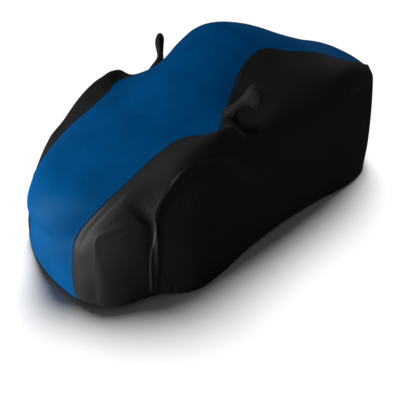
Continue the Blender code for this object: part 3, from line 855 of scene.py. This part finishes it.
def inside_neck(shape, ovals):
    """True where a point lies within a pocket's neck, made narrower by HOLE_SHRINK."""
    centre, thin, tall, half_thin, half_tall = pocket_frame(ovals, np.linspace(0, NECK_OVALS, NECK_STEPS))
    points = shape.reshape(-1, 3)
    inside = np.zeros(len(points), bool)
    near = np.linalg.norm(points - centre[NECK_MIDDLE], axis=1) < NECK_REACH
    gap = points[near][:, None] - centre[None]
    nearest = np.linalg.norm(gap, axis=2).argmin(1)
    gap = gap[np.arange(len(nearest)), nearest]
    a = (gap * thin[nearest]).sum(1) / half_thin[nearest, 0]
    b = (gap * tall[nearest]).sum(1) / half_tall[nearest, 0]
    inside[near] = np.hypot(a, b) < HOLE_SHRINK
    return inside


pieces = {}
centre_mesh = cloth_mesh("centre_cloth", centre_shape, grid_uv(centre_cloth), np.zeros_like(centre_folds))
pieces["centre"] = cloth_piece("centre_cloth", centre_mesh)
for word, side in SIDES.items():
    shape, pocket = side_shapes[word], pocket_shapes[word]
    name = "side_cloth_" + word
    hole = inside_neck(shape, POCKETS[word])
    mesh = cloth_mesh(name, shape, grid_uv(side_cloth), side_pull_and_painted_light, side, skip=hole)
    pieces["side_" + word] = cloth_piece(name, mesh)
    name = "pocket_cloth_" + word
    round_way = np.broadcast_to(angles * POCKET_RADIUS, pocket.shape[:2])
    pocket_uv = np.stack((tape(pocket, 0), round_way), axis=-1)
    mesh = cloth_mesh(name, pocket, pocket_uv, np.zeros(pocket.shape[:2]), side, closed=True)
    pieces["pocket_" + word] = cloth_piece(name, mesh, POCKET_CLOTH_MM, -1)
for piece in pieces.values():
    print(piece.name, len(piece.data.polygons), "faces")

# %% [markdown]
# ## Colours and materials
#
# Colours are noted as sRGB hex values, as a dyer's chart gives them, and one function turns
# them to the linear values that a shader wants. One more small function adds a node with its
# settings and its links, so that a material reads as a short list.

# %% Colour and node helpers
def linear(hex_value):
    """sRGB hex such as 3a6ea5 to a linear colour."""
    share = np.array([int(hex_value[i:i + 2], 16) for i in (0, 2, 4)]) / 255
    value = np.where(share <= 0.04045, share / 12.92, ((share + 0.055) / 1.055) ** 2.4)
    return (*value.tolist(), 1)


def add_node(tree, kind, settings=None, inputs=None, links=None):
    """A node of a kind, with its settings, input values and links from other sockets."""
    node = tree.nodes.new(kind)
    for key, value in (settings or {}).items():
        setattr(node, key, value)
    for key, value in (inputs or {}).items():
        node.inputs[key].default_value = value
    for key, socket in (links or {}).items():
        tree.links.new(socket, node.inputs[key])
    return node


print("mid grey 808080 in linear light:", round(linear("808080")[0], 3))

# %% [markdown]
# ## Satin warp knit
#
# The cloth is a polyester warp knit with elastane, dyed and heat set, with its smooth satin
# face outwards. It gives the eye a soft sheen and almost no weave: fine ribs that run along
# the cover, a slight cloudiness from uneven stretch, and a paler tone where the cloth is
# drawn over an edge. The same paler colour is also a painted highlight along the front arch's
# lip and painted light over the side window. The dielectric IOR of polyester is about 1.57.
# The ribs are 0.6 mm wide on the real cloth and are drawn 4 mm wide, because a finer line
# can't show at this size. The
# dark satin swallows most of its gloss, so the specular level is far below that of a solid.

# %% The knit material
RIB_MM = 3.95
# a wave texture of scale 1 has this many bands in a metre
WAVE_BANDS = 20 / (2 * np.pi)
CLOUD_METRES = 0.25
POLYESTER_IOR = 1.57
SHEEN = 0.002


def satin_knit(name, dyed, drawn_and_lit, roughness, level, gleam):
    """Satin warp knit in a dyed colour, and a paler colour for stretched cloth and painted light."""
    material = bpy.data.materials.new(name)
    material.use_nodes = True
    tree = material.node_tree
    shader = tree.nodes["Principled BSDF"]
    shader.inputs["IOR"].default_value = POLYESTER_IOR
    shader.inputs["Specular IOR Level"].default_value = level
    shader.inputs["Specular Tint"].default_value = linear(gleam)
    shader.inputs["Sheen Weight"].default_value = SHEEN
    shader.inputs["Sheen Roughness"].default_value = 0.5
    shader.inputs["Sheen Tint"].default_value = linear(gleam)
    place = add_node(tree, "ShaderNodeTexCoord")
    # cloudiness: patches that are paler or darker, and slightly more or less matt
    cloud = add_node(tree, "ShaderNodeTexNoise", None,
                     {"Scale": 1 / CLOUD_METRES, "Detail": 3.0, "Roughness": 0.55},
                     {"Vector": place.outputs["Object"]})
    tone = add_node(tree, "ShaderNodeMapRange", None,
                    {"From Min": 0.3, "From Max": 0.7, "To Min": 0.88, "To Max": 1.10},
                    {"Value": cloud.outputs["Fac"]})
    # paler colour where the point attribute is set: stretched knit, plus a painted highlight on the arch's
    # lip and painted light over the side window
    pull_and_painted_light = add_node(tree, "ShaderNodeAttribute", {"attribute_name": "pull_and_painted_light"})
    amount = add_node(tree, "ShaderNodeMath", {"operation": "MULTIPLY"}, {1: 0.8},
                      {0: pull_and_painted_light.outputs["Fac"]})
    base = add_node(tree, "ShaderNodeMix", {"data_type": "RGBA"},
                    {"A": linear(dyed), "B": linear(drawn_and_lit)}, {"Factor": amount.outputs[0]})
    shade = add_node(tree, "ShaderNodeVectorMath", {"operation": "SCALE"}, None,
                     {0: base.outputs["Result"], "Scale": tone.outputs["Result"]})
    tree.links.new(shade.outputs[0], shader.inputs["Base Color"])
    gloss = add_node(tree, "ShaderNodeMapRange", None,
                     {"To Min": roughness - 0.05, "To Max": roughness + 0.05},
                     {"Value": cloud.outputs["Fac"]})
    tree.links.new(gloss.outputs["Result"], shader.inputs["Roughness"])
    # ribs of the knit, in UV metres
    ribs = add_node(tree, "ShaderNodeTexWave", {"bands_direction": "Y"},
                    {"Scale": 1000 / RIB_MM / WAVE_BANDS, "Distortion": 0.6, "Detail": 1.0,
                     "Detail Scale": 3.0}, {"Vector": place.outputs["UV"]})
    bump = add_node(tree, "ShaderNodeBump", None, {"Strength": 0.25, "Distance": 0.0004},
                    {"Height": ribs.outputs["Fac"]})
    tree.links.new(bump.outputs["Normal"], shader.inputs["Normal"])
    return material


# the paler second colour shows only on the black sides: stretched knit, a painted highlight on the lip and
# painted light on the window
blue_knit = satin_knit("blue_satin_warp_knit", "003158", "00608a", 0.60, 0.055, "009cb0")
black_knit = satin_knit("black_satin_warp_knit", "151515", "484848", 0.60, 0.13, "d0d0d0")
pocket_knit = satin_knit("black_pocket_warp_knit", "1c1c1c", "303030", 0.60, 0.09, "d0d0d0")
pieces["centre"].data.materials.append(blue_knit)
for word in ("left", "right"):
    pieces["side_" + word].data.materials.append(black_knit)
    pieces["pocket_" + word].data.materials.append(pocket_knit)
print("materials:", [material.name for material in (blue_knit, black_knit, pocket_knit)])

# %% [markdown]
# ## Stitches
#
# A row of topstitching runs along each side of the two long seams and along the top of the
# hem channel. Stitches repeat along a path, which is what Geometry Nodes do best: the path
# is cut into even steps, and one small pill is placed at each, turned along the path. The
# real pitch is 3.5 mm. It is drawn at 14 mm with longer stitches, because nothing finer
# shows at this size.

# %% A node tree that sews
STITCH_PITCH = 0.014
STITCH_LONG = 0.0095
STITCH_THICK = 0.0013


def stitch_tree(thread):
    """Geometry Nodes: pills along a path, with named sizes."""
    tree = bpy.data.node_groups.new("topstitch", "GeometryNodeTree")
    tree.interface.new_socket("Geometry", in_out="INPUT", socket_type="NodeSocketGeometry")
    for label in ("Pitch", "Long", "Thick"):
        tree.interface.new_socket(label, in_out="INPUT", socket_type="NodeSocketFloat")
    tree.interface.new_socket("Geometry", in_out="OUTPUT", socket_type="NodeSocketGeometry")
    start = add_node(tree, "NodeGroupInput")
    path = add_node(tree, "GeometryNodeMeshToCurve", None, None, {"Mesh": start.outputs["Geometry"]})
    dots = add_node(tree, "GeometryNodeCurveToPoints", {"mode": "LENGTH"}, None,
                    {"Curve": path.outputs["Curve"], "Length": start.outputs["Pitch"]})
    turn = add_node(tree, "FunctionNodeAlignRotationToVector", {"axis": "X"}, None,
                    {"Vector": dots.outputs["Tangent"]})
    size = add_node(tree, "ShaderNodeCombineXYZ", None, None,
                    {"X": start.outputs["Long"], "Y": start.outputs["Thick"], "Z": start.outputs["Thick"]})
    pill = add_node(tree, "GeometryNodeMeshUVSphere", None, {"Segments": 6, "Rings": 5, "Radius": 0.5})
    shaped_pill = add_node(tree, "GeometryNodeTransform", None, {"Rotation": (0, np.pi / 2, 0)},
                           {"Geometry": pill.outputs["Mesh"]})
    sewn = add_node(tree, "GeometryNodeInstanceOnPoints", None, None,
                    {"Points": dots.outputs["Points"], "Instance": shaped_pill.outputs["Geometry"],
                     "Rotation": turn.outputs["Rotation"], "Scale": size.outputs["Vector"]})
    real = add_node(tree, "GeometryNodeRealizeInstances", None, None,
                    {"Geometry": sewn.outputs["Instances"]})
    dressed = add_node(tree, "GeometryNodeSetMaterial", None, {"Material": thread},
                       {"Geometry": real.outputs["Geometry"]})
    add_node(tree, "NodeGroupOutput", None, None, {"Geometry": dressed.outputs["Geometry"]})
    return tree


print("one stitch every", STITCH_PITCH * 1000, "mm")

# %% [markdown]
# The thread is spun polyester, slightly paler than the cloth beside it, and matt.

# %% Thread materials
def spun_thread(name, dyed):
    """Matt spun polyester thread with a slight change of tone along it."""
    material = bpy.data.materials.new(name)
    material.use_nodes = True
    tree = material.node_tree
    shader = tree.nodes["Principled BSDF"]
    shader.inputs["IOR"].default_value = POLYESTER_IOR
    shader.inputs["Roughness"].default_value = 0.75
    place = add_node(tree, "ShaderNodeTexCoord")
    uneven = add_node(tree, "ShaderNodeTexNoise", None, {"Scale": 120.0, "Detail": 1.0},
                      {"Vector": place.outputs["Object"]})
    tone = add_node(tree, "ShaderNodeMapRange", None, {"To Min": 0.75, "To Max": 1.25},
                    {"Value": uneven.outputs["Fac"]})
    shade = add_node(tree, "ShaderNodeVectorMath", {"operation": "SCALE"}, {0: linear(dyed)[:3]},
                     {"Scale": tone.outputs["Result"]})
    tree.links.new(shade.outputs[0], shader.inputs["Base Color"])
    return material


blue_thread = spun_thread("blue_spun_thread", "0f6aa2")
black_thread = spun_thread("black_spun_thread", "2c2c2e")
print("threads ready")

# %% [markdown]
# The path of each row is read off the finished cloth, a few millimetres from the seam, and
# lies on its face. Each row is one open chain of points, and all rows of one colour make one
# piece.

# %% Sew the rows
SEAM_ROW_MM = 5.0
THREAD_LIFT = 0.0007


def row_along(shape, from_edge_mm, distance_mm, axis, side=1):
    """Points on the cloth's face at a fixed distance from an edge, one for each grid line."""
    face = shape + grid_normals(shape) * THREAD_LIFT
    if axis == 0:
        face, from_edge_mm = face.transpose(1, 0, 2), from_edge_mm.T
    points = []
    for line, reach in zip(face, from_edge_mm):
        if reach.max() > distance_mm:
            points.append([np.interp(distance_mm, reach, line[:, part]) for part in range(3)])
    return np.array(points) * np.array((side, 1, 1))


def sew(name, paths, thread):
    """All rows of stitches of one colour, as one plain mesh."""
    points, edges = [], []
    for path in paths:
        first = sum(len(part) for part in points)
        points.append(path)
        edges.extend((first + i, first + i + 1) for i in range(len(path) - 1))
    mesh = bpy.data.meshes.new(name + "_paths")
    mesh.from_pydata(np.concatenate(points).tolist(), edges, [])
    paths_object = bpy.data.objects.new(name, mesh)
    bpy.context.scene.collection.objects.link(paths_object)
    nodes = paths_object.modifiers.new("sew", "NODES")
    nodes.node_group = stitch_tree(thread)
    sizes = {"Pitch": STITCH_PITCH, "Long": STITCH_LONG, "Thick": STITCH_THICK}
    for item in nodes.node_group.interface.items_tree:
        if item.in_out == "INPUT" and item.name in sizes:
            nodes[item.identifier] = sizes[item.name]
    bpy.context.view_layer.update()
    ready = paths_object.evaluated_get(bpy.context.evaluated_depsgraph_get())
    plain = bpy.data.meshes.new_from_object(ready)
    plain.name = name
    paths_object.modifiers.remove(nodes)
    paths_object.data = plain
    plain.shade_smooth()
    print(name, len(plain.polygons), "faces")
    return paths_object


centre_from_left = tape(centre_cloth, 1, True)[:, ::-1] * 1000
blue_rows = [
    row_along(centre_shape[:, ::-1], centre_from_left, SEAM_ROW_MM, 1),
    row_along(centre_shape, tape(centre_cloth, 1) * 1000, SEAM_ROW_MM, 1),
    row_along(centre_shape, tape(centre_cloth, 0) * 1000, CHANNEL_MM, 0),
    row_along(centre_shape[::-1], tape(centre_cloth, 0, True)[::-1] * 1000, CHANNEL_MM, 0),
]
pieces["blue_stitches"] = sew("blue_stitches", blue_rows, blue_thread)
for word, side in SIDES.items():
    shape = side_shapes[word]
    seam_row = row_along(shape, side_seam_mm, SEAM_ROW_MM, 1, side)
    hem_row = row_along(shape[:, ::-1], tape(side_cloth, 1, True)[:, ::-1] * 1000, CHANNEL_MM, 1, side)
    name = "black_stitches_" + word
    pieces["stitches_" + word] = sew(name, [seam_row, hem_row], black_thread)

# %% [markdown]
# ## Floor and light
#
# The cover is shown in a plain studio: a pale matt floor that runs out of the picture, a
# softbox low in front of the nose, a wide soft light overhead and behind, and a dim even
# sky. The softbox stands near, so it fades with distance: the nose is the brightest part and
# the windscreen the darkest. A photographer would keep it off the floor with a black flag;
# here light linking does that. The light overhead throws a soft shadow towards the camera.
# It has a polarising filter, so only the softbox leaves a gleam on the satin: the overhead
# light and the floor are left out of glossy reflections.

# %% Floor
FLOOR_REACH, FLOOR_GAP = 60, 0.001
FLOOR_Z = min(float(shape[..., 2].min()) for shape in side_shapes.values()) - FLOOR_GAP
corners = [(x * FLOOR_REACH, y * FLOOR_REACH, FLOOR_Z) for x, y in ((-1, -1), (1, -1), (1, 1), (-1, 1))]
floor_mesh = bpy.data.meshes.new("floor")
floor_mesh.from_pydata(corners, [], [(0, 1, 2, 3)])
floor = bpy.data.objects.new("floor", floor_mesh)
bpy.context.scene.collection.objects.link(floor)
paint = bpy.data.materials.new("matt_white_studio_paint")
paint.use_nodes = True
matt = paint.node_tree.nodes["Principled BSDF"].inputs
matt["Base Color"].default_value = linear("f8f8f8")
matt["Roughness"].default_value = 0.9
matt["Specular IOR Level"].default_value = 0.2
floor_mesh.materials.append(paint)
print("floor at", round(FLOOR_Z * 1000, 1), "mm")

# %% Lights
def aim(thing, way, place=(0, 0, 0)):
    """Turn a light so that its beam comes from a direction, and put it in its place."""
    z_axis = np.array(way) / np.linalg.norm(way)
    x_axis = np.cross((0, 1, 0.01), z_axis)
    x_axis /= np.linalg.norm(x_axis)
    turn = Matrix(np.array((x_axis, np.cross(z_axis, x_axis), z_axis)).T.tolist()).to_4x4()
    thing.matrix_world = Matrix.Translation(place) @ turn


overhead = bpy.data.lights.new("overhead_soft_light", "SUN")
overhead.energy = 3.9
overhead.angle = np.radians(26)
overhead_lamp = bpy.data.objects.new("overhead_soft_light", overhead)
aim(overhead_lamp, (-0.42, 0.38, 1.0))
front = bpy.data.lights.new("front_softbox", "AREA")
front.shape = "RECTANGLE"
front.size, front.size_y = 1.6, 0.9
front.energy = 228
front_lamp = bpy.data.objects.new("front_softbox", front)
aim(front_lamp, (-0.10, -1.0, 0.16), (-0.30, -4.0, 0.95))
for lamp in (overhead_lamp, front_lamp):
    bpy.context.scene.collection.objects.link(lamp)
for thing in (overhead_lamp, floor):
    thing.visible_glossy = False
flagged = bpy.data.collections.new("lit_by_softbox")
for piece in pieces.values():
    flagged.objects.link(piece)
front_lamp.light_linking.receiver_collection = flagged
SKY = 0.06
sky = bpy.data.worlds.new("studio_sky")
bpy.context.scene.world = sky
sky.use_nodes = True
sky.node_tree.nodes["Background"].inputs["Color"].default_value = (1, 1, 1, 1)
sky.node_tree.nodes["Background"].inputs["Strength"].default_value = SKY
bpy.context.scene.view_settings.view_transform = "Standard"
print("lights:", overhead.energy, "overhead,", front.energy, "W in front, and a sky of", SKY)

# %% [markdown]
# ## Ride on the body and stand in for the solids
#
# Every piece rides on the one body and stands for its solid, which is hidden. The cut is the
# tight panel's own area, less the few per cent that the elastane gives.

# %% Ride and replace
for piece in pieces.values():
    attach(piece, "root")
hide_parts("centre_panel")
for word in ("left", "right"):
    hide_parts("side_panel_" + word)
    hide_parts("mirror_pocket_" + word)
